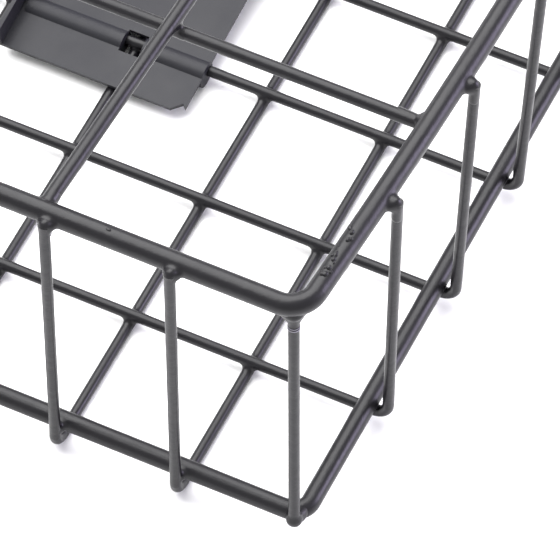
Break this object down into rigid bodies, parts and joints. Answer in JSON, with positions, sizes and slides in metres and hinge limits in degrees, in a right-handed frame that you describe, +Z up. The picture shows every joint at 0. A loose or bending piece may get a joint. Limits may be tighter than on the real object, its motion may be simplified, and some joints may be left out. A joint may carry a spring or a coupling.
{
  "type": "live catch trap",
  "caption": "Spring-lid live catch trap: a low welded wire basket with hooked wall wires, a hinged treadle plate, a wire-grid lid held open by a set rod, and torsion springs.",
  "frame": {"origin": "on the ground under the middle of the basket, midway between its walls", "axes": "+Z up, +Y along the basket towards the wall that the lid is hinged on, +X to the right seen from the front wall"},
  "size_m": [0.1755, 0.279, 0.2877],
  "materials": {
    "coated_wire": "semi-gloss dipped coating on steel wire",
    "coated_sheet": "satin coating on sheet steel",
    "spring_steel": "oiled spring wire"
  },
  "bodies": {
    "basket": {"bottom_rim": "coated_wire", "corner_post_front_left": "coated_wire", "corner_post_front_right": "coated_wire", "corner_post_rear_left": "coated_wire", "corner_post_rear_right": "coated_wire", "cross_brace_front": "coated_wire", "cross_brace_rear": "coated_wire", "cross_wire_1": "coated_wire", "cross_wire_2": "coated_wire", "cross_wire_3": "coated_wire", "cross_wire_4": "coated_wire", "cross_wire_5": "coated_wire", "cross_wire_6": "coated_wire", "cross_wire_7": "coated_wire", "cross_wire_8": "coated_wire", "long_brace_left": "coated_wire", "long_brace_right": "coated_wire", "long_wire_1": "coated_wire", "long_wire_2": "coated_wire", "long_wire_3": "coated_wire", "long_wire_4": "coated_wire", "long_wire_5": "coated_wire", "long_wire_6": "coated_wire", "spring_anchor_left": "spring_steel", "spring_anchor_right": "spring_steel", "top_rim": "coated_wire"},
    "lid": {"hinge_clip_left": "coated_sheet", "hinge_clip_right": "coated_sheet", "lid_cross_wire_1": "coated_wire", "lid_cross_wire_2": "coated_wire", "lid_cross_wire_3": "coated_wire", "lid_cross_wire_4": "coated_wire", "lid_cross_wire_5": "coated_wire", "lid_cross_wire_6": "coated_wire", "lid_cross_wire_7": "coated_wire", "lid_cross_wire_8": "coated_wire", "lid_long_wire_1": "coated_wire", "lid_long_wire_2": "coated_wire", "lid_long_wire_3": "coated_wire", "lid_long_wire_4": "coated_wire", "lid_long_wire_5": "coated_wire", "lid_long_wire_6": "coated_wire", "lid_rim": "coated_wire", "lid_spring_left": "spring_steel", "lid_spring_right": "spring_steel"},
    "treadle": {"treadle_plate": "coated_sheet"},
    "set_rod": {"set_rod": "coated_wire"}
  },
  "joints": [
    {"name": "lid_hinge", "type": "hinge", "parent": "basket", "child": "lid", "pos_m": [0, 0.114, 0.0621], "axis": [1, 0, 0], "range_deg": [0, 100], "deforming": ["lid_spring_left", "lid_spring_right"]},
    {"name": "set_rod_pivot", "type": "hinge", "parent": "lid", "child": "set_rod", "pos_m": [0.00385, 0.12622, 0.11254], "axis": [1, 0, 0], "range_deg": [-122, 0]},
    {"name": "treadle_hinge", "type": "hinge", "parent": "basket", "child": "treadle", "pos_m": [0, -0.0373, 0.00245], "axis": [1, 0, 0], "range_deg": [-4.8, 0]}
  ],
  "couplings": [
    {"joint": "set_rod_pivot", "follows": "lid_hinge", "ratio": -1.22}
  ]
}
